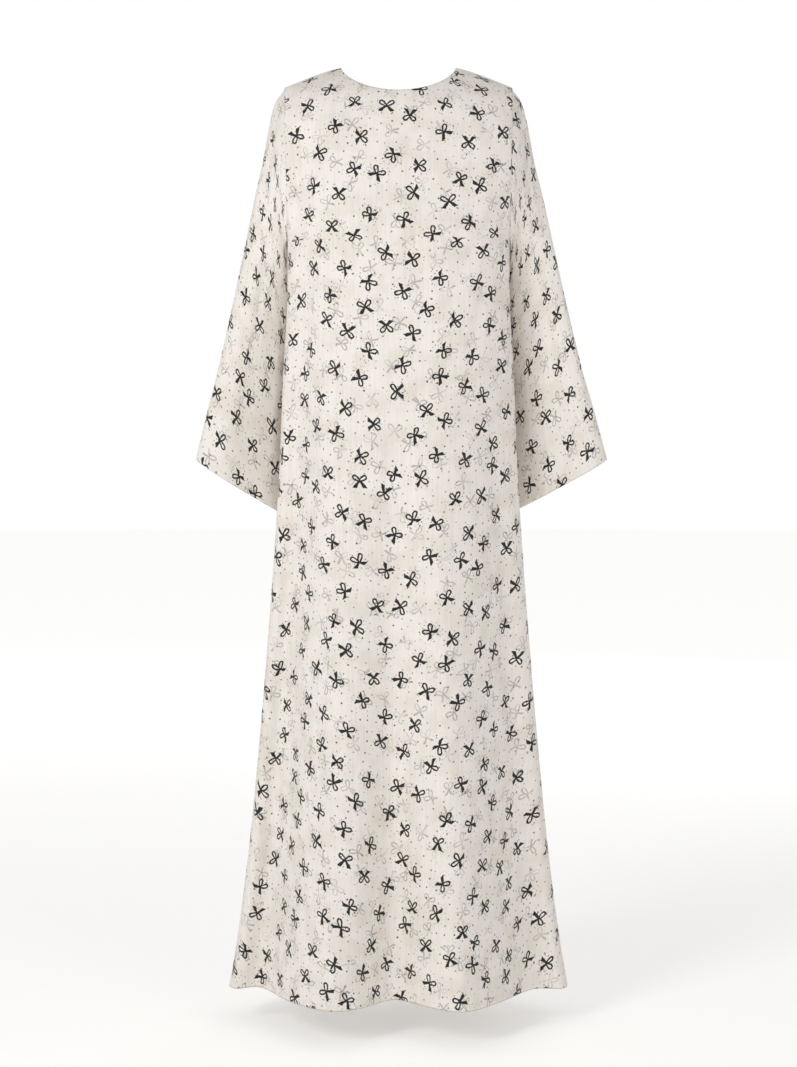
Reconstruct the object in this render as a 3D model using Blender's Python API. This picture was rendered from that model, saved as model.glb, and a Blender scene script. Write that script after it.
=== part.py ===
# A long A-line abaya with wide sleeves, in the hollow form it has when worn.
# Four cloth walls: front, back and two sleeves, 0.3 mm apart at their seams.
# Metres, +Z up, front towards -Y. The origin is the middle of the neck opening, level with
# the neck ends of the shoulder seams, where the wearer's shoulders hold the garment up.

import bmesh
import bpy
import numpy as np

# Sizes of the whole garment
LENGTH = 1.42
WALL = 0.0016
SEAM_GAP = 0.0003
NECK_HALF_WIDTH = 0.0875
SHOULDER_DROP = 0.030
UNDERARM_DROP = 0.265
ARMHOLE_HALF_DEPTH = 0.065
YOKE_DROP = 0.100
ARMHOLE_MIDDLE = (UNDERARM_DROP + SHOULDER_DROP) / 2
ARMHOLE_HALF = (UNDERARM_DROP - SHOULDER_DROP) / 2

# Grid of one panel: the neck corner falls on a column
PANEL_COLUMNS = 32
NECK_SHARE = 7 / 16
YOKE_ROWS = 6
ARMHOLE_ROWS = 6
SKIRT_ROWS = 20
SLEEVE_COLUMNS = 24
SLEEVE_ROWS = 16

# Horizontal sections of the body, from the shoulder tip down to the hem
SECTION_COLUMNS = ("drop", "half_width", "front_depth", "back_depth", "fullness")
SECTIONS = (
    (0.030, 0.1735, 0.086, 0.086, 2.50),
    (0.100, 0.1715, 0.097, 0.096, 2.55),
    (0.173, 0.1697, 0.111, 0.102, 2.60),
    (0.265, 0.1698, 0.124, 0.106, 2.55),
    (0.360, 0.1708, 0.124, 0.105, 2.40),
    (0.469, 0.1775, 0.121, 0.107, 2.25),
    (0.620, 0.1842, 0.125, 0.119, 2.15),
    (0.800, 0.1965, 0.131, 0.130, 2.05),
    (1.000, 0.2130, 0.137, 0.138, 2.00),
    (1.220, 0.2350, 0.144, 0.148, 2.00),
    (1.360, 0.2540, 0.149, 0.154, 2.00),
    (1.420, 0.2645, 0.151, 0.157, 2.00),
)

# Long folds of a panel. "at_top", "at_hem" and "width" are shares of the half width, "depth" is how
# far the fold stands out (or in, below zero) at the hem, "start" is the drop where it begins.
FOLD_COLUMNS = ("at_top", "at_hem", "width", "depth", "start", "power")
FRONT_FOLDS = (
    (-0.86, -0.82, 0.14, -0.068, 0.06, 0.75),
    (-0.56, -0.38, 0.18, 0.035, 0.30, 1.10),
    (-0.06, -0.02, 0.14, -0.050, 0.50, 1.10),
    (0.32, 0.37, 0.155, 0.038, 0.48, 1.20),
    (0.86, 0.80, 0.17, -0.060, 0.30, 1.10),
)
SIDE_FADE = 16
BACK_FOLDS = (
    (-0.80, -0.76, 0.15, -0.048, 0.25, 1.00),
    (-0.46, -0.44, 0.15, 0.026, 0.42, 1.20),
    (-0.06, -0.10, 0.12, -0.034, 0.55, 1.15),
    (0.26, 0.22, 0.14, 0.030, 0.50, 1.10),
    (0.56, 0.52, 0.11, -0.018, 0.70, 1.20),
    (0.84, 0.80, 0.15, -0.042, 0.25, 1.00),
)

# Each panel: which way it faces, its neck edge and how steeply the cloth leaves its top edge
PANELS = {
    "front": {
        "side": -1,
        "depth": "front_depth",
        "neck_depth": 0.075,
        "neck_drop": 0.0405,
        "folds": FRONT_FOLDS,
        "colour": (0.800, 0.745, 0.690),
    },
    "back": {
        "side": 1,
        "depth": "back_depth",
        "neck_depth": 0.045,
        "neck_drop": 0.030,
        "folds": BACK_FOLDS,
        "colour": (0.770, 0.715, 0.660),
    },
}
NECK_CURVE = 1.25
SHOULDER_CURVE = 1.25
TOP_SLOPE_AT = (0.0, NECK_SHARE, 1.0)
TOP_SLOPE = (58.0, 20.0, 3.0)
YOKE_REACH = 1.15
EDGE_FADE = 8

# Rings of a sleeve, from the armhole to the cuff. The outer line is the one seen from the front;
# the inner line hangs behind the body's edge.
RING_COLUMNS = (
    "outer_x",
    "outer_y",
    "outer_drop",
    "inner_x",
    "inner_y",
    "inner_drop",
    "front_depth",
    "back_depth",
)
RINGS = (
    (0.1735, 0.000, 0.030, 0.1698, 0.000, 0.265, 0.065, 0.065),
    (0.1875, 0.003, 0.049, 0.1706, 0.009, 0.276, 0.062, 0.063),
    (0.1965, 0.005, 0.080, 0.1704, 0.023, 0.295, 0.058, 0.061),
    (0.2085, 0.007, 0.142, 0.1694, 0.040, 0.338, 0.052, 0.057),
    (0.2225, 0.009, 0.204, 0.1680, 0.055, 0.386, 0.046, 0.053),
    (0.2490, 0.010, 0.329, 0.1660, 0.074, 0.478, 0.039, 0.046),
    (0.2770, 0.011, 0.453, 0.1645, 0.087, 0.578, 0.037, 0.042),
    (0.2930, 0.011, 0.515, 0.1640, 0.092, 0.632, 0.037, 0.042),
    (0.3140, 0.012, 0.599, 0.1640, 0.096, 0.697, 0.038, 0.043),
)
# "spread" and "lift" move a cuff's outer corner out and its inner end up. A flute is a soft
# lengthwise fold: "at" and "width" are degrees round the sleeve from its outer line by the front.
FLUTE_COLUMNS = ("at", "width", "depth", "start", "power")
SLEEVES = {
    "sleeve_left": {
        "mirror": -1,
        "spread": 0.0,
        "lift": 0.0,
        "flutes": (
            (52.0, 24.0, 0.0050, 0.30, 1.5),
            (96.0, 20.0, -0.0060, 0.25, 1.4),
            (232.0, 24.0, 0.0060, 0.20, 1.3),
            (284.0, 20.0, -0.0060, 0.30, 1.4),
        ),
        "colour": (0.815, 0.765, 0.715),
    },
    "sleeve_right": {
        "mirror": 1,
        "spread": 0.009,
        "lift": 0.006,
        "flutes": (
            (46.0, 20.0, 0.0060, 0.35, 1.6),
            (84.0, 22.0, -0.0055, 0.30, 1.3),
            (224.0, 22.0, 0.0055, 0.25, 1.3),
            (292.0, 24.0, -0.0065, 0.25, 1.4),
        ),
        "colour": (0.735, 0.680, 0.625),
    },
}
CORNER_START = 0.35
CORNER_POWER = 1.3
CUFF_SAG = 0.002
CUFF_SAG_START = 0.5
SEAM_FADE = 20
ROUGHNESS = 0.85
SHARP_ANGLE = 50.0


def table(rows, names, name):
    return np.array([row[names.index(name)] for row in rows])


def smooth(at, values, where):
    """A smooth curve through values placed at rising positions."""
    slopes = np.gradient(values, at)
    index = np.clip(np.searchsorted(at, where) - 1, 0, len(at) - 2)
    gap = at[index + 1] - at[index]
    t = np.clip((where - at[index]) / gap, 0.0, 1.0)
    rise = t * t * (3 - 2 * t)
    return (
        (1 - rise) * values[index]
        + rise * values[index + 1]
        + (t - 1) * (t - 1) * t * gap * slopes[index]
        + t * t * (t - 1) * gap * slopes[index + 1]
    )


def section(name, drop):
    drops = table(SECTIONS, SECTION_COLUMNS, "drop")
    return smooth(drops, table(SECTIONS, SECTION_COLUMNS, name), drop)


def grown(start, power, along, end):
    """0 before the start of a fold, rising to 1 at the end of the cloth."""
    return np.clip((along - start) / (end - start), 0.0, 1.0) ** power


def armhole_depth(drop):
    share = np.clip((drop - ARMHOLE_MIDDLE) / ARMHOLE_HALF, -1.0, 1.0)
    return ARMHOLE_HALF_DEPTH * np.sqrt(1 - share * share)


def hill(where, at, width):
    return np.exp(-(((where - at) / width) ** 2))


def folds_of(panel, across, drop):
    """How far the folds move the cloth out, fading to nothing at the side seams."""
    out = 0.0
    for row in panel["folds"]:
        fold = dict(zip(FOLD_COLUMNS, row))
        at = fold["at_top"] + (fold["at_hem"] - fold["at_top"]) * drop / LENGTH
        height = fold["depth"] * grown(fold["start"], fold["power"], drop, LENGTH)
        out = out + height * hill(across, at, fold["width"])
    return out * (1 - np.minimum(np.abs(across), 1.0) ** SIDE_FADE)


def section_point(panel, across, drop):
    """A point on a panel below its yoke; across runs from -1 to 1 between its side edges.

    The section is a rounded oblong. Above the underarm it is a little wider than the body's
    edge, which cuts it where the armhole is.
    """
    full = section("fullness", drop)
    depth = section(panel["depth"], drop)
    edge_out = armhole_depth(drop) / depth
    edge_over = (1 - edge_out**full) ** (1 / full)
    turn = across * np.arctan2(edge_over, edge_out)
    over, out = np.sin(turn), np.cos(turn)
    size = (np.abs(over) ** full + out**full) ** (-1 / full)
    half_width = section("half_width", drop)
    x = half_width / edge_over * over * size
    y = depth * out * size + folds_of(panel, x / half_width, drop)
    return np.array([x, panel["side"] * y, -drop])


def top_point(panel, across):
    """A point on the neck edge or on the shoulder seam."""
    if abs(across) <= NECK_SHARE:
        turn = across / NECK_SHARE * np.pi / 2
        drop = panel["neck_drop"] * max(np.cos(turn), 0.0) ** NECK_CURVE
        out = panel["neck_depth"] * max(np.cos(turn), 0.0)
        return np.array([NECK_HALF_WIDTH * np.sin(turn), panel["side"] * out, -drop])
    along = (abs(across) - NECK_SHARE) / (1 - NECK_SHARE)
    tip = section("half_width", SHOULDER_DROP)
    x = NECK_HALF_WIDTH + along * (tip - NECK_HALF_WIDTH)
    return np.array([np.sign(across) * x, 0.0, -SHOULDER_DROP * along**SHOULDER_CURVE])


def armhole_edge(panel, across, share):
    """The armhole's edge beside the yoke, an arc of the same oval as below it."""
    turn = share * np.arccos((ARMHOLE_MIDDLE - YOKE_DROP) / ARMHOLE_HALF)
    drop = ARMHOLE_MIDDLE - ARMHOLE_HALF * np.cos(turn)
    out = panel["side"] * ARMHOLE_HALF_DEPTH * np.sin(turn)
    return np.array([np.sign(across) * section("half_width", drop), out, -drop])


def yoke_curve(panel, across, share):
    """A smooth run of cloth from the top edge down to the first whole section."""
    top = top_point(panel, across)
    low = section_point(panel, across, YOKE_DROP)
    slope = np.radians(np.interp(abs(across), TOP_SLOPE_AT, TOP_SLOPE))
    leave = np.array([0.0, panel["side"] * np.cos(slope), -np.sin(slope)])
    below = section_point(panel, across, YOKE_DROP + 0.01) - low
    arrive = below / np.linalg.norm(below)
    reach = YOKE_REACH * np.linalg.norm(low - top)
    t = share
    rise = t * t * (3 - 2 * t)
    ends = (1 - rise) * top + rise * low
    return ends + reach * ((t - 1) ** 2 * t * leave + t * t * (t - 1) * arrive)


def yoke_point(panel, across, share):
    edge = np.sign(across) if across else 1.0
    miss = armhole_edge(panel, edge, share) - yoke_curve(panel, edge, share)
    return yoke_curve(panel, across, share) + abs(across) ** EDGE_FADE * miss


def drops_below_yoke():
    start = np.arccos((ARMHOLE_MIDDLE - YOKE_DROP) / ARMHOLE_HALF)
    armhole = ARMHOLE_MIDDLE - ARMHOLE_HALF * np.cos(np.linspace(start, np.pi, ARMHOLE_ROWS + 1))
    skirt = np.linspace(UNDERARM_DROP, LENGTH, SKIRT_ROWS + 1)
    return np.concatenate([armhole, skirt[1:]])


def panel_points(panel):
    """Rows of points from the top edge to the hem, and which way their edges may be moved."""
    across = np.linspace(-1, 1, PANEL_COLUMNS + 1)
    shares = np.linspace(0, 1, YOKE_ROWS + 1)[:-1]
    rows = [[yoke_point(panel, u, share) for u in across] for share in shares]
    rows += [[section_point(panel, u, drop) for u in across] for drop in drops_below_yoke()]
    points = np.array(rows)
    shift = panel["side"] * SEAM_GAP / 2
    points[..., 1] += shift
    first_side_row = YOKE_ROWS + ARMHOLE_ROWS
    points[first_side_row:, [0, -1], 1] = shift
    keep = np.ones_like(points)
    keep[:first_side_row, [0, -1], 0] = 0
    keep[first_side_row:, [0, -1], 1] = 0
    neck = np.abs(across) < NECK_SHARE - 1e-6
    keep[0, ~neck, 1] = 0
    keep[-1, :, 2] = 0
    return points, keep


def ring_value(name, along):
    places = np.linspace(0, 1, len(RINGS))
    return smooth(places, table(RINGS, RING_COLUMNS, name), along)


def sleeve_ring(sleeve, along, turns):
    outer = np.array([ring_value(n, along) for n in ("outer_x", "outer_y", "outer_drop")])
    inner = np.array([ring_value(n, along) for n in ("inner_x", "inner_y", "inner_drop")])
    middle = (outer + inner) / 2
    ring = middle + np.cos(turns)[:, None] * (outer - middle)
    front = turns <= np.pi
    depth = np.where(front, ring_value("front_depth", along), ring_value("back_depth", along))
    for row in sleeve["flutes"]:
        flute = dict(zip(FLUTE_COLUMNS, row))
        height = flute["depth"] * grown(flute["start"], flute["power"], along, 1.0)
        depth = depth + height * hill(np.degrees(turns), flute["at"], flute["width"])
    ring[:, 1] -= depth * np.sin(turns)
    return ring


def sleeve_points(sleeve):
    """Rings of points from the armhole to the cuff, the first 0.3 mm outside the body's edge."""
    turns = np.linspace(0, 2 * np.pi, SLEEVE_COLUMNS + 1)
    outward = (1 + np.cos(turns)) / 2
    rings = []
    for along in np.linspace(0, 1, SLEEVE_ROWS + 1):
        ring = sleeve_ring(sleeve, along, turns)
        corner = grown(CORNER_START, CORNER_POWER, along, 1.0)
        ring[:, 0] += sleeve["spread"] * outward * corner
        ring[:, 2] -= sleeve["lift"] * (1 - outward) * corner
        ring[:, 2] += CUFF_SAG * np.sin(turns) ** 2 * grown(CUFF_SAG_START, 1.5, along, 1.0)
        seam_x = section("half_width", ring[:, 2]) + SEAM_GAP
        ring[:, 0] += (1 - along) ** SEAM_FADE * (seam_x - ring[:, 0])
        rings.append(ring)
    points = np.array(rings)
    points[:, -1] = points[:, 0]
    points *= (sleeve["mirror"], 1, -1)
    keep = np.ones_like(points)
    keep[0, :, 0] = 0
    return points, keep


def normals_of(points, round_tube):
    down = np.gradient(points, axis=0)
    over = np.gradient(points, axis=1)
    if round_tube:
        over[:, [0, -1]] = ((points[:, 1] - points[:, -2]) / 2)[:, None]
    normals = np.cross(down, over)
    return normals / np.linalg.norm(normals, axis=2, keepdims=True)


def inner_points(points, keep, round_tube, outward):
    """The wall's inner face. At a seam it is moved within the seam's own plane."""
    normals = outward * normals_of(points, round_tube) * keep
    normals /= np.linalg.norm(normals, axis=2, keepdims=True)
    return points - WALL * normals


def cloth_material(name, colour):
    material = bpy.data.materials.new(name)
    material.use_nodes = True
    shader = material.node_tree.nodes["Principled BSDF"]
    shader.inputs["Base Color"].default_value = (*colour, 1)
    shader.inputs["Roughness"].default_value = ROUGHNESS
    shader.inputs["Metallic"].default_value = 0.0
    return material


def add_wall(name, outer, inner, round_tube, colour):
    """A closed wall: a grid laid on the outer face, extruded and moved to the inner face."""
    rows, columns = outer.shape[0] - 1, outer.shape[1] - 1
    shape = bmesh.new()
    bmesh.ops.create_grid(shape, x_segments=columns, y_segments=rows, size=1)
    row_of = shape.verts.layers.int.new("row")
    column_of = shape.verts.layers.int.new("column")
    for vert in shape.verts:
        vert[row_of] = round((1 - vert.co.y) / 2 * rows)
        vert[column_of] = round((1 + vert.co.x) / 2 * columns)
        vert.co = outer[vert[row_of], vert[column_of]]
    if round_tube:
        ends = [vert for vert in shape.verts if vert[column_of] in (0, columns)]
        bmesh.ops.remove_doubles(shape, verts=ends, dist=1e-6)
    copied = bmesh.ops.extrude_face_region(shape, geom=shape.faces[:], use_keep_orig=True)
    for vert in copied["geom"]:
        if isinstance(vert, bmesh.types.BMVert):
            vert.co = inner[vert[row_of], vert[column_of]]
    bmesh.ops.recalc_face_normals(shape, faces=shape.faces)
    mesh = bpy.data.meshes.new(name)
    shape.to_mesh(mesh)
    shape.free()
    mesh.shade_smooth()
    mesh.set_sharp_from_angle(angle=np.radians(SHARP_ANGLE))
    mesh.materials.append(cloth_material(name, colour))
    wall = bpy.data.objects.new(name, mesh)
    bpy.context.scene.collection.objects.link(wall)


def clear_scene():
    for thing in list(bpy.data.objects):
        bpy.data.objects.remove(thing)


clear_scene()
for name, panel in PANELS.items():
    points, keep = panel_points(panel)
    inner = inner_points(points, keep, False, -panel["side"])
    add_wall(name, points, inner, False, panel["colour"])
for name, sleeve in SLEEVES.items():
    points, keep = sleeve_points(sleeve)
    inner = inner_points(points, keep, True, -sleeve["mirror"])
    add_wall(name, points, inner, True, sleeve["colour"])
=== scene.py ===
import math

import bmesh
import bpy
import numpy as np
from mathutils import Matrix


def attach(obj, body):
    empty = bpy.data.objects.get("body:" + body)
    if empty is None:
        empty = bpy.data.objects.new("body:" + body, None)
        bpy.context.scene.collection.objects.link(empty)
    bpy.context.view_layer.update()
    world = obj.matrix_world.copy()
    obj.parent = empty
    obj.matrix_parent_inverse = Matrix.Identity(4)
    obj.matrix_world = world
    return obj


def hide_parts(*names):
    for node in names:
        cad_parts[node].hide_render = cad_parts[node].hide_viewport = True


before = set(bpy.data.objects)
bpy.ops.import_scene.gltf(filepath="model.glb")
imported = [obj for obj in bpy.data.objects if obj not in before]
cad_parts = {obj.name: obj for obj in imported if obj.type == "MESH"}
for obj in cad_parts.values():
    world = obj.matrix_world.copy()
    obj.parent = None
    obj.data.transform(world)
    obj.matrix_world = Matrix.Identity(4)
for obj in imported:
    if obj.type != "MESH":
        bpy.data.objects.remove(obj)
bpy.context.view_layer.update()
print("abaya: frame loaded")

# The cut of the garment, in metres, the same as in the CAD solids.
garment = {
    "length": 1.42, "seamGap": 0.0003, "neckHalfWidth": 0.0875, "shoulderDrop": 0.030,
    "underarmDrop": 0.265, "armholeHalfDepth": 0.065, "yokeDrop": 0.100,
    "neckShare": 7 / 16, "yokeReach": 1.15, "edgeFade": 8, "sideFade": 16,
    "neckCurve": 1.25, "shoulderCurve": 1.25, "slopeDrop": 0.01, "neckStitchReach": 0.02,
    "topSlopeAt": (0, 7 / 16, 1), "topSlope": (58, 20, 3),
    "shellThickness": 0.0011, "mergeReach": 1e-6,
}
armholeMiddle = (garment["underarmDrop"] + garment["shoulderDrop"]) / 2
armholeHalf = (garment["underarmDrop"] - garment["shoulderDrop"]) / 2

# drop, half width, depth to the front, depth to the back, fullness
sections = np.array([
    (0.030, 0.1735, 0.086, 0.086, 2.50), (0.100, 0.1715, 0.097, 0.096, 2.55),
    (0.173, 0.1697, 0.111, 0.102, 2.60), (0.265, 0.1698, 0.124, 0.106, 2.55),
    (0.360, 0.1708, 0.124, 0.105, 2.40), (0.469, 0.1775, 0.121, 0.107, 2.25),
    (0.620, 0.1842, 0.125, 0.119, 2.15), (0.800, 0.1965, 0.131, 0.130, 2.05),
    (1.000, 0.2130, 0.137, 0.138, 2.00), (1.220, 0.2350, 0.144, 0.148, 2.00),
    (1.360, 0.2540, 0.149, 0.154, 2.00), (1.420, 0.2645, 0.151, 0.157, 2.00),
])
sectionColumn = {"halfWidth": 1, "frontDepth": 2, "backDepth": 3, "fullness": 4}


def smooth(at, values, where):
    # a cubic through the values, with the slopes of their neighbours
    slopes = np.gradient(values, at)
    index = np.clip(np.searchsorted(at, where) - 1, 0, len(at) - 2)
    gap = at[index + 1] - at[index]
    t = np.clip((where - at[index]) / gap, 0.0, 1.0)
    rise = t * t * (3 - 2 * t)
    leave = (t - 1) * (t - 1) * t * gap * slopes[index]
    arrive = t * t * (t - 1) * gap * slopes[index + 1]
    return (1 - rise) * values[index] + rise * values[index + 1] + leave + arrive


def section(name, drop):
    return smooth(sections[:, 0], sections[:, sectionColumn[name]], drop)


def grown(start, power, along, end):
    return np.clip((along - start) / (end - start), 0.0, 1.0) ** power


def hill(where, at, width):
    return np.exp(-(((where - at) / width) ** 2))


def armholeDepth(drop):
    share = np.clip((drop - armholeMiddle) / armholeHalf, -1.0, 1.0)
    return garment["armholeHalfDepth"] * np.sqrt(1 - share * share)


# A main fold: its place across at the top and at the hem, its width, depth, start and power.
# A crease: x and drop of its two ends, how much it bows, its width and depth, all in metres.
# Rows of the yoke, the armhole and the skirt. The cut starts at its own place in the cloth.
frontPanel = {
    "node": "front", "side": -1, "depth": "frontDepth", "neckDepth": 0.075, "neckDrop": 0.0405,
    "rows": (24, 29, 237), "columns": 150, "seed": 11, "cutFrom": (0.0, 0.0),
    "sheetWidth": 0.80, "sheetLength": 1.45, "sheetArea": 0.766,
    "folds": (
        (-0.86, -0.82, 0.14, -0.068, 0.06, 0.75), (-0.56, -0.38, 0.18, 0.035, 0.30, 1.10),
        (-0.06, -0.02, 0.14, -0.050, 0.50, 1.10), (0.32, 0.37, 0.155, 0.038, 0.48, 1.20),
        (0.86, 0.80, 0.17, -0.060, 0.30, 1.10),
    ),
    "creases": (
        (-0.148, 0.235, -0.060, 0.420, 0.010, 0.010, -0.0022),
        (-0.140, 0.260, -0.085, 0.560, 0.008, 0.009, -0.0018),
        (0.150, 0.225, 0.070, 0.395, -0.012, 0.010, -0.0024),
        (0.142, 0.255, 0.095, 0.600, -0.006, 0.009, -0.0020),
        (-0.112, 0.075, -0.125, 0.300, -0.006, 0.012, 0.0016),
        (0.118, 0.080, 0.128, 0.290, 0.006, 0.012, 0.0016),
        (-0.030, 0.330, -0.048, 0.860, 0.006, 0.016, 0.0020),
        (0.045, 0.260, 0.030, 0.700, -0.008, 0.015, -0.0018),
        (0.010, 0.520, 0.004, 1.020, 0.006, 0.012, -0.0016),
        (-0.095, 0.640, -0.125, 1.180, -0.008, 0.013, -0.0022),
        (0.085, 0.760, 0.110, 1.260, 0.006, 0.013, 0.0020),
        (0.150, 0.640, 0.185, 1.200, 0.004, 0.011, -0.0022),
        (-0.152, 0.700, -0.190, 1.300, -0.004, 0.010, 0.0018),
        (0.040, 0.960, 0.055, 1.400, 0.004, 0.011, -0.0014),
        (-0.060, 1.050, -0.072, 1.410, 0.003, 0.010, 0.0014),
        (0.000, 0.110, -0.008, 0.330, 0.004, 0.018, 0.0012),
    ),
}
backPanel = {
    "node": "back", "side": 1, "depth": "backDepth", "neckDepth": 0.045, "neckDrop": 0.030,
    "rows": (24, 29, 237), "columns": 150, "seed": 23, "cutFrom": (5.313, 0.727),
    "sheetWidth": 0.75, "sheetLength": 1.45, "sheetArea": 0.739,
    "folds": (
        (-0.80, -0.76, 0.15, -0.048, 0.25, 1.00), (-0.46, -0.44, 0.15, 0.026, 0.42, 1.20),
        (-0.06, -0.10, 0.12, -0.034, 0.55, 1.15), (0.26, 0.22, 0.14, 0.030, 0.50, 1.10),
        (0.56, 0.52, 0.11, -0.018, 0.70, 1.20), (0.84, 0.80, 0.15, -0.042, 0.25, 1.00),
    ),
    "creases": (
        (-0.146, 0.230, -0.070, 0.400, 0.010, 0.010, -0.0022),
        (-0.138, 0.262, -0.092, 0.580, 0.006, 0.009, -0.0018),
        (0.148, 0.232, 0.065, 0.420, -0.010, 0.010, -0.0022),
        (0.140, 0.258, 0.090, 0.540, -0.008, 0.009, -0.0018),
        (-0.100, 0.060, -0.112, 0.320, -0.006, 0.013, 0.0016),
        (0.105, 0.064, 0.120, 0.280, 0.006, 0.012, 0.0016),
        (0.022, 0.300, 0.012, 0.820, 0.006, 0.016, 0.0020),
        (-0.052, 0.340, -0.040, 0.900, -0.006, 0.014, -0.0018),
        (0.105, 0.620, 0.132, 1.150, 0.006, 0.012, 0.0020),
        (-0.110, 0.720, -0.140, 1.280, -0.006, 0.012, -0.0020),
        (0.155, 0.560, 0.186, 1.240, 0.004, 0.011, -0.0020),
        (-0.040, 0.980, -0.048, 1.400, 0.003, 0.011, 0.0016),
        (0.060, 1.020, 0.070, 1.405, 0.003, 0.010, -0.0014),
        (-0.158, 0.620, -0.190, 1.330, -0.004, 0.010, 0.0016),
    ),
}
# How creases lie on the panels, and the low waves of the cloth between them.
creasing = {
    "lift": 1.35, "endFade": 0.8, "startWidth": 0.75, "moreWidth": 0.5,
    "sideFade": 20, "topRows": 10, "hemShare": 0.35, "hemReach": 0.02,
    "waves": 14, "wavesAcross": (14, 55), "wavesDown": (1.5, 9), "wavePhase": (0, 6.28),
    "waveShare": (0.5, 1.0), "waveHeight": 0.0042,
}


def foldsOf(panel, across, drop):
    out = 0.0
    for atTop, atHem, width, depth, start, power in panel["folds"]:
        at = atTop + (atHem - atTop) * drop / garment["length"]
        out = out + depth * grown(start, power, drop, garment["length"]) * hill(across, at, width)
    return out * (1 - np.minimum(np.abs(across), 1.0) ** garment["sideFade"])


def sectionPoints(panel, across, drop):
    across, drop = np.broadcast_arrays(across, drop)
    full, depth = section("fullness", drop), section(panel["depth"], drop)
    edgeOut = armholeDepth(drop) / depth
    edgeOver = (1 - edgeOut**full) ** (1 / full)
    turn = across * np.arctan2(edgeOver, edgeOut)
    over, out = np.sin(turn), np.cos(turn)
    size = (np.abs(over) ** full + np.abs(out) ** full) ** (-1 / full)
    halfWidth = section("halfWidth", drop)
    x = halfWidth / edgeOver * over * size
    y = depth * out * size + foldsOf(panel, x / halfWidth, drop)
    return np.stack([x, panel["side"] * y, -drop], axis=-1)


def topPoints(panel, across):
    # the neck edge, and on to the tips of the shoulders
    share = garment["neckShare"]
    turn = np.clip(across / share, -1, 1) * np.pi / 2
    cosine = np.maximum(np.cos(turn), 0.0)
    along = np.clip((np.abs(across) - share) / (1 - share), 0, 1)
    tip = section("halfWidth", garment["shoulderDrop"])
    shoulder = np.sign(across) * along * (tip - garment["neckHalfWidth"])
    x = garment["neckHalfWidth"] * np.sin(turn) + shoulder
    neckDrop = panel["neckDrop"] * cosine ** garment["neckCurve"]
    drop = neckDrop + garment["shoulderDrop"] * along ** garment["shoulderCurve"]
    return np.stack([x, panel["side"] * panel["neckDepth"] * cosine, -drop], axis=-1)


def armholeEdge(panel, edge, share):
    turn = share * np.arccos((armholeMiddle - garment["yokeDrop"]) / armholeHalf)
    drop = armholeMiddle - armholeHalf * np.cos(turn)
    out = panel["side"] * garment["armholeHalfDepth"] * np.sin(turn)
    return np.array([edge * section("halfWidth", drop), out, -drop])


def yokeCurve(panel, across, share):
    top, low = topPoints(panel, across), sectionPoints(panel, across, garment["yokeDrop"])
    slope = np.radians(np.interp(np.abs(across), garment["topSlopeAt"], garment["topSlope"]))
    leave = np.stack([0 * slope, panel["side"] * np.cos(slope), -np.sin(slope)], axis=-1)
    below = sectionPoints(panel, across, garment["yokeDrop"] + garment["slopeDrop"]) - low
    arrive = below / np.linalg.norm(below, axis=-1, keepdims=True)
    reach = garment["yokeReach"] * np.linalg.norm(low - top, axis=-1, keepdims=True)
    t = share
    rise = t * t * (3 - 2 * t)
    bend = (t - 1) ** 2 * t * leave + t * t * (t - 1) * arrive
    return (1 - rise) * top + rise * low + reach * bend


def yokePoints(panel, across, share):
    points = yokeCurve(panel, across, share)
    for edge in (-1.0, 1.0):
        miss = armholeEdge(panel, edge, share) - yokeCurve(panel, np.array([edge]), share)[0]
        pull = np.where(np.sign(across) == edge, np.abs(across), 0) ** garment["edgeFade"]
        points = points + pull[:, None] * miss
    return points


def spreadOf(points, isTube=False):
    # the way out of the surface at each point; a tube's first and last columns are one
    down, over = np.gradient(points, axis=0), np.gradient(points, axis=1)
    if isTube:
        over[:, [0, -1]] = ((points[:, 1] - points[:, -2]) / 2)[:, None]
    normals = np.cross(down, over)
    return normals / np.linalg.norm(normals, axis=2, keepdims=True)


def creaseHeight(x, drop, crease):
    # a soft trough or ridge along a bowed line, fading at both of its ends
    x0, drop0, x1, drop1, bow, width, depth = crease
    run = np.array([x1 - x0, drop1 - drop0])
    length = np.hypot(*run)
    run = run / length
    along = ((x - x0) * run[0] + (drop - drop0) * run[1]) / length
    aside = (x - x0) * run[1] - (drop - drop0) * run[0]
    inside = np.clip(along, 0, 1)
    fade = np.sin(np.pi * inside ** creasing["endFade"]) ** creasing["endFade"]
    wide = width * (creasing["startWidth"] + creasing["moreWidth"] * inside)
    return creasing["lift"] * depth * fade * hill(aside, bow * np.sin(np.pi * inside), wide)


def panelRows(panel):
    yokeRows, armholeRows, skirtRows = panel["rows"]
    start = np.arccos((armholeMiddle - garment["yokeDrop"]) / armholeHalf)
    turns = np.linspace(start, np.pi, armholeRows + 1)
    armhole = armholeMiddle - armholeHalf * np.cos(turns)
    skirt = np.linspace(garment["underarmDrop"], garment["length"], skirtRows + 1)
    return np.linspace(0, 1, yokeRows + 1)[:-1], np.concatenate([armhole, skirt[1:]])


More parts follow.
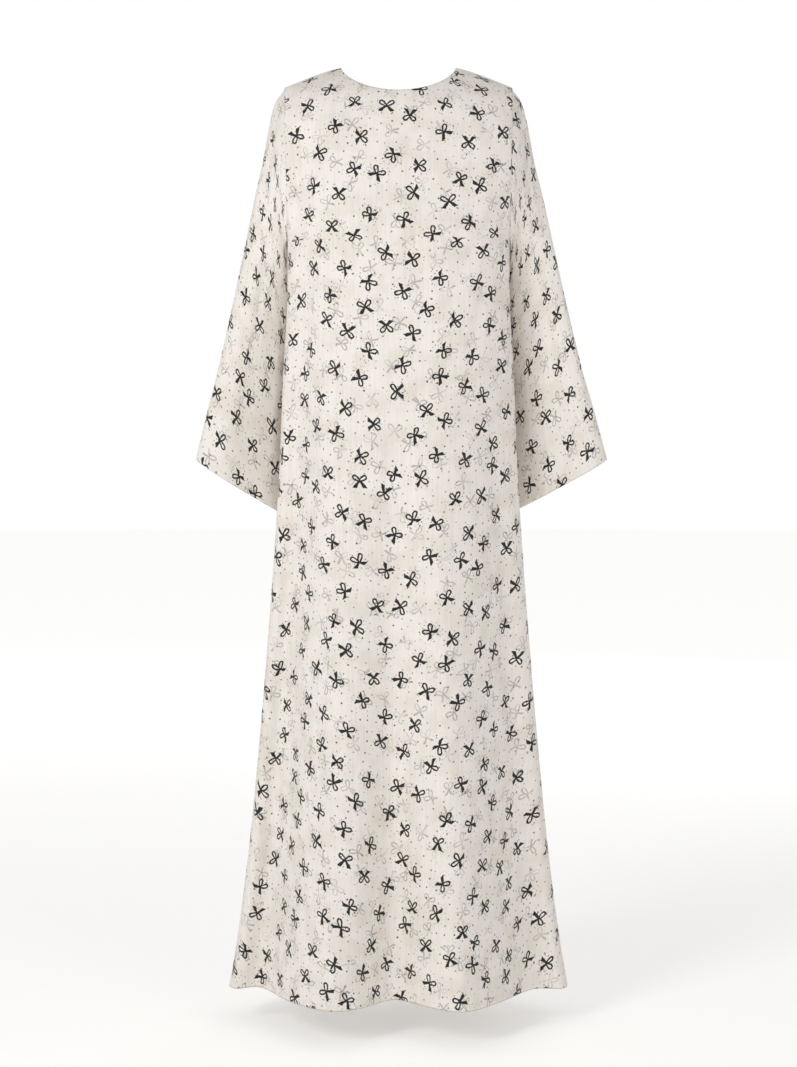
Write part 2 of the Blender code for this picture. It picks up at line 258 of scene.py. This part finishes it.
def panelSurface(panel):
    across = np.linspace(-1, 1, panel["columns"] + 1)
    shares, drops = panelRows(panel)
    yoke = np.array([yokePoints(panel, across, share) for share in shares])
    below = sectionPoints(panel, across[None, :], drops[:, None])
    points = np.concatenate([yoke, below])
    points[..., 1] += panel["side"] * garment["seamGap"] / 2
    normals = -panel["side"] * spreadOf(points)
    x, drop = points[..., 0], -points[..., 2]
    height = sum(creaseHeight(x, drop, crease) for crease in panel["creases"])
    height = height + fineLife(panel["seed"], x, drop)
    # the seams lie flat, and the hem nearly so
    sides = 1 - np.abs(across)[None, :] ** creasing["sideFade"]
    top = np.clip(np.arange(len(points)) / creasing["topRows"], 0, 1)[:, None]
    toHem = np.clip((garment["length"] - drop) / creasing["hemReach"], 0, 1)
    hem = creasing["hemShare"] + (1 - creasing["hemShare"]) * toHem
    return points, normals, height * sides * top * hem, len(shares)


def fineLife(seed, x, drop):
    # low, slow unevenness of hanging cloth, longer down the grain than across it
    draw = np.random.default_rng(seed)
    height = 0.0
    for _ in range(creasing["waves"]):
        across = draw.uniform(*creasing["wavesAcross"])
        down = draw.uniform(*creasing["wavesDown"])
        wave = np.sin(across * x + down * drop + draw.uniform(*creasing["wavePhase"]))
        height = height + wave * draw.uniform(*creasing["waveShare"]) / across
    return height * creasing["waveHeight"]


def clothLengths(points, base):
    # distances in the cloth: across from the middle column, and down from the base row
    steps = np.linalg.norm(np.diff(points, axis=1), axis=2)
    across = np.concatenate([np.zeros((len(points), 1)), np.cumsum(steps, axis=1)], axis=1)
    across -= across[:, [points.shape[1] // 2]]
    steps = np.linalg.norm(np.diff(points, axis=0), axis=2)
    down = np.concatenate([np.zeros((1, points.shape[1])), np.cumsum(steps, axis=0)], axis=0)
    return across, down - down[[base]]


# outer x, y and drop, inner x, y and drop, depth to the front and to the back
rings = np.array([
    (0.1735, 0.000, 0.030, 0.1698, 0.000, 0.265, 0.065, 0.065),
    (0.1875, 0.003, 0.049, 0.1706, 0.009, 0.276, 0.062, 0.063),
    (0.1965, 0.005, 0.080, 0.1704, 0.023, 0.295, 0.058, 0.061),
    (0.2085, 0.007, 0.142, 0.1694, 0.040, 0.338, 0.052, 0.057),
    (0.2225, 0.009, 0.204, 0.1680, 0.055, 0.386, 0.046, 0.053),
    (0.2490, 0.010, 0.329, 0.1660, 0.074, 0.478, 0.039, 0.046),
    (0.2770, 0.011, 0.453, 0.1645, 0.087, 0.578, 0.037, 0.042),
    (0.2930, 0.011, 0.515, 0.1640, 0.092, 0.632, 0.037, 0.042),
    (0.3140, 0.012, 0.599, 0.1640, 0.096, 0.697, 0.038, 0.043),
])
# The shares that fade a crease are of its own length, the others of the sleeve's.
sleeveShape = {
    "rows": 150, "columns": 150, "capHeight": 0.14,
    "cornerStart": 0.35, "cornerPower": 1.3, "seamFade": 20,
    "cuffSag": 0.002, "cuffSagStart": 0.5, "cuffSagPower": 1.5,
    "creaseEarly": 0.9, "creaseFade": 0.8, "startWidth": 0.8, "moreWidth": 0.5,
    "waveShare": 0.7, "wavesAround": 0.07, "wavesAlong": 0.5,
    "startReach": 0.06, "cuffShare": 0.4, "cuffReach": 0.04,
}
# A flute: degrees round the sleeve, its width, depth, start and power.
# A crease: share along and degrees of its two ends, its width in degrees and depth.
leftSleeve = {
    "node": "sleeve_left", "mirror": -1, "spread": 0.0, "lift": 0.0, "seed": 37, "cutFrom": -2.0,
    "sheetWidth": 0.60, "sheetLength": 0.60, "sheetArea": 0.170,
    "flutes": ((52, 24, 0.0050, 0.30, 1.5), (96, 20, -0.0060, 0.25, 1.4),
               (232, 24, 0.0060, 0.20, 1.3), (284, 20, -0.0060, 0.30, 1.4)),
    "creases": (
        (0.04, 40, 0.55, 62, 9, -0.0018),
        (0.10, 150, 0.48, 95, 10, -0.0024),
        (0.16, 165, 0.70, 128, 9, 0.0020),
        (0.30, 28, 0.92, 34, 8, 0.0016),
        (0.45, 78, 0.98, 74, 8, -0.0020),
        (0.55, 118, 0.99, 120, 9, 0.0018),
        (0.08, 205, 0.50, 255, 10, -0.0022),
        (0.15, 190, 0.75, 222, 9, 0.0018),
        (0.35, 320, 0.95, 318, 9, -0.0018),
        (0.50, 268, 0.99, 262, 8, 0.0018),
    ),
}
rightSleeve = {
    "node": "sleeve_right", "mirror": 1, "spread": 0.009, "lift": 0.006, "seed": 41, "cutFrom": 2.0,
    "sheetWidth": 0.60, "sheetLength": 0.60, "sheetArea": 0.172,
    "flutes": ((46, 20, 0.0060, 0.35, 1.6), (84, 22, -0.0055, 0.30, 1.3),
               (224, 22, 0.0055, 0.25, 1.3), (292, 24, -0.0065, 0.25, 1.4)),
    "creases": (
        (0.05, 35, 0.50, 58, 9, -0.0018),
        (0.08, 155, 0.52, 100, 10, -0.0024),
        (0.18, 160, 0.66, 132, 9, 0.0018),
        (0.34, 22, 0.96, 26, 8, 0.0016),
        (0.40, 66, 0.97, 64, 8, -0.0020),
        (0.58, 110, 0.99, 112, 9, 0.0020),
        (0.06, 210, 0.46, 250, 10, -0.0020),
        (0.20, 195, 0.80, 215, 9, 0.0016),
        (0.30, 325, 0.90, 326, 9, -0.0018),
        (0.52, 262, 0.99, 256, 8, 0.0016),
    ),
}


def sleeveSurface(sleeve):
    turns = np.linspace(-np.pi, np.pi, sleeveShape["columns"] + 1)
    along = np.linspace(0, 1, sleeveShape["rows"] + 1)[:, None]
    value = [smooth(np.linspace(0, 1, len(rings)), column, along) for column in rings.T]
    cosine, sine = np.cos(turns)[None, :], np.sin(turns)[None, :]
    x, y, drop = ((outer + inner) / 2 + cosine * (outer - inner) / 2
                  for outer, inner in zip(value[:3], value[3:6]))
    degrees = np.degrees(turns)[None, :] % 360
    depth = np.where(sine >= 0, value[6], value[7])
    for at, width, height, start, power in sleeve["flutes"]:
        depth = depth + height * grown(start, power, along, 1.0) * hill(degrees, at, width)
    y = y - depth * sine
    corner = grown(sleeveShape["cornerStart"], sleeveShape["cornerPower"], along, 1.0)
    outward = (1 + cosine) / 2
    x = x + sleeve["spread"] * outward * corner
    drop = drop - sleeve["lift"] * (1 - outward) * corner
    sag = grown(sleeveShape["cuffSagStart"], sleeveShape["cuffSagPower"], along, 1.0)
    drop = drop + sleeveShape["cuffSag"] * sine**2 * sag
    toSeam = section("halfWidth", drop) + garment["seamGap"] - x
    x = x + (1 - along) ** sleeveShape["seamFade"] * toSeam
    points = np.stack([sleeve["mirror"] * x, y, -drop], axis=-1)
    points[:, -1] = points[:, 0]
    normals = -sleeve["mirror"] * spreadOf(points, isTube=True)

    height = 0.0
    for along0, turn0, along1, turn1, width, depth in sleeve["creases"]:
        inside = np.clip((along - along0) / (along1 - along0), 0, 1)
        middle = turn0 + (turn1 - turn0) * inside
        fade = np.sin(np.pi * inside ** sleeveShape["creaseEarly"]) ** sleeveShape["creaseFade"]
        wide = width * (sleeveShape["startWidth"] + sleeveShape["moreWidth"] * inside)
        height = height + depth * fade * hill(degrees, middle, wide)
    around = sleeveShape["wavesAround"] * np.abs(turns)[None, :] * np.ones_like(along)
    waves = fineLife(sleeve["seed"], around, along * sleeveShape["wavesAlong"])
    height = height + sleeveShape["waveShare"] * waves
    # the armhole's seam lies flat, and the cuff nearly so
    toCuff = np.clip((1 - along) / sleeveShape["cuffReach"], 0, 1)
    cuff = sleeveShape["cuffShare"] + (1 - sleeveShape["cuffShare"]) * toCuff
    fade = np.clip(along / sleeveShape["startReach"], 0, 1) * cuff
    return points, normals, height * fade


def clothPiece(name, points, clothMap, edgeMap, isTube, outward):
    rows, columns = points.shape[0] - 1, points.shape[1] - 1
    shape = bmesh.new()
    bmesh.ops.create_grid(shape, x_segments=columns, y_segments=rows, size=1)
    clothLayer = shape.loops.layers.uv.new("clothMap")
    edgeLayer = shape.loops.layers.uv.new("edgeMap")
    place = {}
    for vert in shape.verts:
        row = round((1 - vert.co.y) / 2 * rows)
        place[vert] = (row, round((1 + vert.co.x) / 2 * columns))
        vert.co = points[place[vert]]
    for face in shape.faces:
        for loop in face.loops:
            loop[clothLayer].uv = clothMap[place[loop.vert]]
            loop[edgeLayer].uv = edgeMap[place[loop.vert]]
    shape.faces.ensure_lookup_table()
    face = shape.faces[len(shape.faces) // 2]
    face.normal_update()
    if face.normal.dot(outward(face.calc_center_median())) < 0:
        bmesh.ops.reverse_faces(shape, faces=shape.faces[:])
    if isTube:
        ends = [vert for vert, (_, column) in place.items() if column in (0, columns)]
        bmesh.ops.remove_doubles(shape, verts=ends, dist=garment["mergeReach"])
    mesh = bpy.data.meshes.new(name)
    shape.to_mesh(mesh)
    shape.free()
    mesh.shade_smooth()
    piece = bpy.data.objects.new(name, mesh)
    bpy.context.scene.collection.objects.link(piece)
    # the shell's inner side has the piece's second material
    wall = piece.modifiers.new("thickness", "SOLIDIFY")
    wall.thickness, wall.offset, wall.material_offset = garment["shellThickness"], -1, 1
    return piece


class Value:
    # a socket that Python's own operators can work on
    def __init__(self, tree, socket):
        self.tree, self.socket = tree, socket

    def maths(self, operation, *terms):
        values = dict(enumerate(terms))
        return addNode(self.tree, "ShaderNodeMath", {"operation": operation}, values)

    def __add__(self, other): return self.maths("ADD", self, other)
    def __radd__(self, other): return self.maths("ADD", other, self)
    def __sub__(self, other): return self.maths("SUBTRACT", self, other)
    def __rsub__(self, other): return self.maths("SUBTRACT", other, self)
    def __mul__(self, other): return self.maths("MULTIPLY", self, other)
    def __rmul__(self, other): return self.maths("MULTIPLY", other, self)
    def __truediv__(self, other): return self.maths("DIVIDE", self, other)
    def __rtruediv__(self, other): return self.maths("DIVIDE", other, self)
    def __neg__(self): return self.maths("MULTIPLY", self, -1.0)
    def __abs__(self): return self.maths("ABSOLUTE", self)
    def high(self, other): return self.maths("MAXIMUM", self, other)
    def sin(self): return self.maths("SINE", self)
    def cos(self): return self.maths("COSINE", self)
    def root(self): return self.maths("SQRT", self)

    def step(self, start, end):
        # 0 at start and 1 at end, smoothly between
        low, high = (0, 1) if start < end else (1, 0)
        return addNode(self.tree, "ShaderNodeMapRange", {"interpolation_type": "SMOOTHSTEP"}, {
            "Value": self, "From Min": min(start, end), "From Max": max(start, end),
            "To Min": low, "To Max": high,
        }, "Result")

    def beside(self, output):
        # another output of the same node
        return Value(self.tree, self.socket.node.outputs[output])


def addNode(tree, kind, settings=None, values=None, output=0):
    node = tree.nodes.new(kind)
    for key, value in (settings or {}).items():
        setattr(node, key, value)
    feed(tree, node, values or {})
    return Value(tree, node.outputs[output])


def feed(tree, node, values):
    for key, value in values.items():
        if isinstance(value, Value):
            tree.links.new(value.socket, node.inputs[key])
        else:
            node.inputs[key].default_value = value


class Material:
    def __init__(self, name):
        self.material = bpy.data.materials.new(name)
        self.material.use_nodes = True
        self.tree = self.material.node_tree

    def node(self, kind, settings=None, values=None, output=0):
        return addNode(self.tree, kind, settings, values, output)

    def split(self, vector):
        first = self.node("ShaderNodeSeparateXYZ", values={0: vector})
        return [first.beside(k) for k in range(3)]

    def joined(self, x, y, z=0.0):
        return self.node("ShaderNodeCombineXYZ", values={0: x, 1: y, 2: z})

    def mix(self, factor, first, second):
        return self.node("ShaderNodeMix", {"data_type": "RGBA", "clamp_factor": True},
                         {0: factor, 6: first, 7: second}, output=2)

    def noise(self, x, y, layer, detail):
        return self.node("ShaderNodeTexNoise", {"noise_dimensions": "3D"},
                         {"Vector": self.joined(x, y, layer), "Scale": 1.0, "Detail": detail},
                         output="Fac")

    def paint(self, values):
        feed(self.tree, self.tree.nodes["Principled BSDF"], values)


def colour(*channels):
    # from the 0 to 255 of a picture to Blender's linear values
    shares = [channel / 255 for channel in channels]
    low, high = [s / 12.92 for s in shares], [((s + 0.055) / 1.055) ** 2.4 for s in shares]
    return (*[low[k] if s <= 0.04045 else high[k] for k, s in enumerate(shares)], 1.0)


# Colours as in a picture, 0 to 255; lengths in metres on the flat cloth; the rest are shares.
printedCloth = {
    "ground": (244, 239, 233), "groundWarm": (230, 220, 209), "groundPale": (250, 247, 243),
    "ink": (20, 22, 26), "ghost": (170, 166, 163), "dot": (58, 50, 48), "palestDot": 0.60,
    "speckInk": 0.8, "speckReach": 0.0230, "speckFull": 0.6, "paleShare": 0.6,
    "waver": 0.0016, "waverScale": 260.0, "warpPitch": 0.00080, "weftPitch": 0.00086,
    "hemStitch": 0.0090, "cuffStitch": 0.0085, "neckStitch": 0.0060,
    # the tan line at the hem is painted shade, for the shadow of the turned edge
    "hemShadeColour": (184, 160, 134), "hemShadeWidth": 0.0015, "hemShadeStrength": 0.9,
    "bump": 0.22, "bumpHeight": 0.00045, "roughness": 0.86, "inkSmoother": 0.08,
    "sheen": 0.12, "sheenRoughness": 0.45, "specular": 0.28,
}
stitching = {
    "thread": (226, 217, 206), "threadShare": 0.55, "pitch": 0.0030, "gap": (-0.55, -0.15),
    "halfWidth": 0.00032, "edge": (0.00022, -0.00012), "groove": 0.0016,
}
# How strongly the print shows on each side of the cloth.
printShows = {
    "outside": {"bow": 0.98, "ghost": 0.78, "dot": 0.95},
    "inside": {"bow": 0.20, "ghost": 0.12, "dot": 0.20},
}
# A scatter: its spacing, the turn of its rows, how loose they are, and where they start.
scatters = {
    "bow": (0.0488, 0.42, 0.42, (3.2, 7.7)), "ghost": (0.0430, 1.05, 0.62, (11.4, 2.9)),
    "dot": (0.0152, 0.18, 0.62, (5.1, 9.3)), "speck": (0.0062, 0.68, 0.90, (1.3, 6.6)),
}
# Noise over the cloth: changes across and down in a metre, its layer and detail, where it
# starts and ends showing, and how strongly it shows.
grain = {
    "patch": (34, 34, 0.0, 2, 0.38, 0.62, 0.65), "cloud": (26, 26, 44.2, 3, 0.40, 0.66, 0.52),
    "streak": (260, 9, 8.0, 2, 0.42, 0.66, 0.30), "slub": (900, 26, 0.0, 3, 0.50, 0.72, 0.50),
    "pick": (40, 1100, 4.0, 2, 0.56, 0.74, 0.22),
}
reliefHeight = {"weave": 0.10, "slub": 0.55, "pick": 0.30, "groove": -1.6, "stitch": 1.4,
                "bow": -0.08}


def scattered(cloth, x, y, spacing, turn, looseness, start):
    # the nearest point of loose rows: where we are from it, in metres, and its random numbers
    cosine, sine = math.cos(turn) / spacing, math.sin(turn) / spacing
    u, v = x * cosine - y * sine + start[0], x * sine + y * cosine + start[1]
    nearest = cloth.node(
        "ShaderNodeTexVoronoi",
        {"voronoi_dimensions": "2D", "feature": "F1", "distance": "EUCLIDEAN"},
        {"Vector": cloth.joined(u, v), "Scale": 1.0, "Randomness": looseness}, output="Color")
    place, random = cloth.split(nearest.beside("Position")), cloth.split(nearest)
    return (u - place[0]) * spacing, (v - place[1]) * spacing, random


def turned(x, y, angle):
    cosine, sine = angle.cos(), angle.sin()
    return x * cosine - y * sine, x * sine + y * cosine


def far(x, y):
    return (x * x + y * y).root()


# How every bow is drawn, in shares of its length or line, and where its arms leave the knot.
bowDrawing = {
    "leastSize": 0.88, "moreSize": 0.24, "armStart": (-0.0004, 0.0006),
    "loopMiddle": 0.52, "loopReach": 0.50, "loopNear": 0.50, "loopFar": 0.62, "leastHalf": 0.0006,
    "tailNear": 0.54, "straightAt": 0.35, "notchAside": 0.2, "notchSlope": 0.7, "knot": 0.85,
}
bowShape = {
    "line": 0.0025, "soft": 0.00030, "lean": 0.80, "leanSpread": 0.34, "length": 0.0117,
    "half": 0.0033, "tailLean": 0.80, "tailCurl": 22.0, "tailLength": 0.0124, "tailFlare": 0.74,
}
ghostShape = {
    "line": 0.0019, "soft": 0.00055, "lean": 0.75, "leanSpread": 0.55, "length": 0.0120,
    "half": 0.0034, "tailLean": 0.62, "tailCurl": 28.0, "tailLength": 0.0115, "tailFlare": 0.35,
}


def bowMask(x, y, random, shape):
    # two open loops on one side of a small knot and two broad tails on the other
    line, soft, drawing = shape["line"], shape["soft"], bowDrawing
    x, y = turned(x, y, random[0] * math.tau)
    side = abs(x)
    lean = shape["lean"] + (random[1] - 0.5) * shape["leanSpread"]
    loopAcross, loopAlong = turned(side, y, lean)
    size = shape["length"] * (drawing["leastSize"] + drawing["moreSize"] * random[2])
    reach = size * drawing["loopReach"]
    half = shape["half"] * (drawing["loopNear"] + drawing["loopFar"] * (loopAlong / size))
    half = half.high(drawing["leastHalf"])
    # how far we are from the edge of an ellipse, near enough for a thin line
    p, q = (loopAlong - size * drawing["loopMiddle"]) / reach, loopAcross / half
    share = far(p, q)
    ring = abs(share * (share - 1.0) / far(p / reach, q / half).high(1.0))
    loop = ring.step(line * 0.5 + soft, line * 0.5 - soft) * loopAlong.step(*drawing["armStart"])

    tailLean = shape["tailLean"] + (random[2] - 0.5) * shape["leanSpread"]
    tailAcross, tailAlong = turned(side, -y, tailLean)
    curl = shape["tailCurl"] * (random[1] - drawing["straightAt"])
    tailAcross = tailAcross + tailAlong * tailAlong * curl
    tailSize = shape["tailLength"] * (drawing["leastSize"] + drawing["moreSize"] * random[1])
    flare = shape["tailFlare"] * (tailAlong / tailSize).high(0.0)
    tailHalf = line * (drawing["tailNear"] + flare)
    notch = tailSize + (tailAcross - tailHalf * drawing["notchAside"]) * drawing["notchSlope"]
    tail = (abs(tailAcross) - tailHalf).step(soft, -soft) * tailAlong.step(*drawing["armStart"])
    tail = tail * (tailAlong - notch).step(soft, -soft)
    knotSize = line * drawing["knot"]
    return loop.high(tail).high(far(x, y).step(knotSize + soft, knotSize - soft))


# A dot's size and its soft edge, and which of its random numbers leaves some dots out.
dotShape = {"size": 0.0013, "leastSize": 0.55, "moreSize": 0.6, "edge": (0.0004, -0.0003),
            "number": 2, "leftOut": (0.10, 0.16)}
speckShape = {"size": 0.00066, "leastSize": 0.6, "moreSize": 1.0, "edge": (0.0003, -0.0002),
              "number": 1, "leftOut": (0.34, 0.40)}


def dotMask(x, y, random, shape):
    size = shape["size"] * (shape["leastSize"] + shape["moreSize"] * random[0])
    return (far(x, y) - size).step(*shape["edge"]) * random[shape["number"]].step(*shape["leftOut"])


def clothMaterial(name, shows):
    cloth, values = Material(name), printedCloth
    x, y, _ = cloth.split(cloth.node("ShaderNodeUVMap", {"uv_map": "clothMap"}))
    along, distance, _ = cloth.split(cloth.node("ShaderNodeUVMap", {"uv_map": "edgeMap"}))
    # the hand of the print: edges that waver a little
    waver = cloth.split(cloth.node(
        "ShaderNodeTexNoise", {"noise_dimensions": "2D"},
        {"Vector": cloth.joined(x, y), "Scale": values["waverScale"], "Detail": 1.0},
        output="Color"))
    inked = [place + (waver[k] - 0.5) * values["waver"] for k, place in enumerate((x, y))]

    noise, shown = {}, {}
    for layer, (across, down, depth, detail, start, end, strength) in grain.items():
        noise[layer] = cloth.noise(x * across, y * down, depth, detail)
        shown[layer] = noise[layer].step(start, end) * strength

    bows = scattered(cloth, *inked, *scatters["bow"])
    bow = bowMask(*bows, bowShape)
    ghost = bowMask(*scattered(cloth, *inked, *scatters["ghost"]), ghostShape)
    ghost = ghost * (shown["patch"] + (1 - grain["patch"][-1]))
    dots = scattered(cloth, x, y, *scatters["dot"])
    dot = dotMask(*dots, dotShape)
    dot = dot * (values["palestDot"] + (1 - values["palestDot"]) * dots[2][1])
    # finer specks gather round the bows
    speck = dotMask(*scattered(cloth, x, y, *scatters["speck"]), speckShape)
    speckFull = values["speckReach"] * values["speckFull"]
    speck = speck * far(*bows[:2]).step(values["speckReach"], speckFull)

    # slubs run down the cloth and, finer, across it; the ground is softly cloudy
    warm, pale = shown["cloud"] + shown["streak"], shown["slub"] + shown["pick"]
    ground = cloth.mix(warm, colour(*values["ground"]), colour(*values["groundWarm"]))
    ground = cloth.mix(pale * values["paleShare"], ground, colour(*values["groundPale"]))
    warp = (x * (math.tau / values["warpPitch"])).sin()
    weave = warp * (y * (math.tau / values["weftPitch"])).sin()

    # the stitched turning: a row of small stitches beside the edge
    row = (abs(distance) - stitching["halfWidth"]).step(*stitching["edge"])
    stitch = row * (along * (math.tau / stitching["pitch"])).sin().step(*stitching["gap"])
    groove = abs(distance).step(stitching["groove"], 0.0)
    # painted shade: a thin tan line along the hem's turned edge, and fainter along the cuffs'
    # edges, stands for the shadow of the fold
    hemFoldShade = distance.step(values["hemShadeWidth"] - values["hemStitch"], -values["hemStitch"])

    paint = ground
    for mask, shade in (
        (stitch * stitching["threadShare"], stitching["thread"]),
        (ghost * shows["ghost"], values["ghost"]),
        (dot * shows["dot"], values["dot"]),
        (speck * shows["dot"] * values["speckInk"], values["dot"]),
        (bow * shows["bow"], values["ink"]),
        # last, the painted shade along the hem's fold
        (hemFoldShade * values["hemShadeStrength"], values["hemShadeColour"]),
    ):
        paint = cloth.mix(mask, paint, colour(*shade))
    layers = {"weave": weave, "groove": groove, "stitch": stitch, "bow": bow, **noise}
    relief = sum(layers[layer] * height for layer, height in reliefHeight.items())
    cloth.paint({
        "Base Color": paint,
        "Normal": cloth.node("ShaderNodeBump", values={
            "Strength": values["bump"], "Distance": values["bumpHeight"], "Height": relief}),
        "Roughness": values["roughness"] - bow * values["inkSmoother"],
        "Sheen Weight": values["sheen"], "Sheen Roughness": values["sheenRoughness"],
        "Specular IOR Level": values["specular"],
    })
    return cloth.material


clothOutside = clothMaterial("printedClothOutside", printShows["outside"])
clothInside = clothMaterial("printedClothInside", printShows["inside"])
print("abaya: printed cloth mixed")


def finishPiece(piece, item):
    piece.data.materials.append(clothOutside)
    piece.data.materials.append(clothInside)
    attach(piece, "root")
    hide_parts(item["node"])


def makePanel(panel):
    points, normals, height, yokeRows = panelSurface(panel)
    cloth = points + normals * height[..., None]
    across, down = clothLengths(points, yokeRows)
    down = down + garment["yokeDrop"]
    # each panel is cut from its own place in the printed cloth
    fromX, fromY = panel["cutFrom"]
    clothMap = np.stack([fromX - panel["side"] * across, fromY - down], axis=-1)
    # how far each place is from the stitching of the nearest turned edge
    hem = down[[-1]] - down - printedCloth["hemStitch"]
    toNeck = down - down[[0]] - printedCloth["neckStitch"]
    columns = np.abs(np.linspace(-1, 1, panel["columns"] + 1))[None, :]
    toNeck = np.where(columns < garment["neckShare"] + garment["neckStitchReach"], toNeck, 1.0)
    nearest = np.where(np.abs(hem) < np.abs(toNeck), hem, toNeck)
    edgeMap = np.stack([across, nearest], axis=-1)
    piece = clothPiece(panel["node"] + "Cloth", cloth, clothMap, edgeMap, False,
                       lambda place: (place[0], panel["side"], 0))
    finishPiece(piece, panel)
    print("abaya:", panel["node"], "made")


def makeSleeve(sleeve):
    points, normals, height = sleeveSurface(sleeve)
    cloth = points + normals * height[..., None]
    cloth[:, -1] = cloth[:, 0]
    across, down = clothLengths(points, 0)
    turns = np.linspace(-np.pi, np.pi, sleeveShape["columns"] + 1)
    down = down + sleeveShape["capHeight"] * (1 - np.cos(turns))[None, :] / 2
    clothMap = np.stack([across + sleeve["cutFrom"], -down], axis=-1)
    cuff = down[[-1]] - down - printedCloth["cuffStitch"]
    edgeMap = np.stack([across, cuff], axis=-1)
    middle = cloth[len(cloth) // 2].mean(axis=0)
    piece = clothPiece(sleeve["node"] + "Cloth", cloth, clothMap, edgeMap, True,
                       lambda place: [place[k] - middle[k] for k in range(2)] + [0])
    finishPiece(piece, sleeve)
    print("abaya:", sleeve["node"], "made")


makePanel(frontPanel)
makePanel(backPanel)
makeSleeve(leftSleeve)
makeSleeve(rightSleeve)

# A light: its place, what it points at, its size, power and tint.
studio = {
    "floorDrop": 1.475, "floorColour": (240, 239, 237), "floorRadius": 12.0, "floorRoughness": 0.95,
    "glowFrom": (0.5, 4.5), "nearGlow": 0.38, "farGlow": 0.56, "surround": 0.47,
    "cameraPlace": (0.0, -4.0, -0.45), "cameraTilt": 90 - 3.767, "lens": 87.40, "filmWidth": 36,
    "lights": {
        "keyLight": ((-2.2, -3.0, 1.3), (0, 0, -0.6), (1.2, 1.6), 48, (1.0, 1.0, 0.99)),
        "fillLight": ((2.6, -3.2, 1.3), (0, 0, -0.6), (2.2, 2.4), 12, (1.0, 0.955, 0.90)),
        "backLight": ((1.4, 3.8, 1.0), (0, 0, -0.7), (2.4, 2.4), 16, (1.0, 1.0, 0.99)),
    },
}


def paleFloor():
    # a wide round of pale paper, which glows into the white studio far from the garment
    shape = bmesh.new()
    bmesh.ops.create_circle(shape, cap_ends=True, segments=96, radius=studio["floorRadius"])
    bmesh.ops.translate(shape, vec=(0, 0, -studio["floorDrop"]), verts=shape.verts)
    if next(iter(shape.faces)).normal.z < 0:
        bmesh.ops.reverse_faces(shape, faces=shape.faces[:])
    mesh = bpy.data.meshes.new("studioFloor")
    shape.to_mesh(mesh)
    shape.free()
    paper = Material("studioPaper")
    x, y, _ = paper.split(paper.node("ShaderNodeTexCoord", output="Object"))
    away = far(x, y).step(*studio["glowFrom"])
    glow = studio["nearGlow"] + away * (studio["farGlow"] - studio["nearGlow"])
    paper.paint({
        "Base Color": colour(*studio["floorColour"]), "Roughness": studio["floorRoughness"],
        "Emission Strength": 1.0, "Emission Color": paper.joined(glow, glow, glow),
    })
    mesh.materials.append(paper.material)
    floor = bpy.data.objects.new("studioFloor", mesh)
    bpy.context.scene.collection.objects.link(floor)


def light(name, place, target, size, power, tint):
    lamp = bpy.data.lights.new(name, "AREA")
    lamp.shape, lamp.size, lamp.size_y = "RECTANGLE", *size
    lamp.energy, lamp.color = power, tint
    thing = bpy.data.objects.new(name, lamp)
    bpy.context.scene.collection.objects.link(thing)
    thing.location = place
    over, back, up = np.array(target) - np.array(place)
    turn = math.atan2(back, over) - math.pi / 2
    thing.rotation_euler = (math.atan2(math.hypot(over, back), -up), 0, turn)


paleFloor()
for name, values in studio["lights"].items():
    light(name, *values)

# the white surround is seen brighter than it lights
world = bpy.data.worlds.new("studioWorld")
world.use_nodes = True
seen = addNode(world.node_tree, "ShaderNodeLightPath", output="Is Camera Ray")
feed(world.node_tree, world.node_tree.nodes["Background"], {
    "Color": (1, 1, 1, 1), "Strength": studio["surround"] + seen * (1.0 - studio["surround"]),
})
bpy.context.scene.world = world
bpy.context.scene.view_settings.view_transform = "Standard"

eye = bpy.data.cameras.new("photoCamera")
eye.lens, eye.sensor_width, eye.sensor_fit = studio["lens"], studio["filmWidth"], "AUTO"
camera = bpy.data.objects.new("photoCamera", eye)
bpy.context.scene.collection.objects.link(camera)
camera.location = studio["cameraPlace"]
camera.rotation_euler = (math.radians(studio["cameraTilt"]), 0, 0)
bpy.context.scene.camera = camera
print("abaya: studio lit")
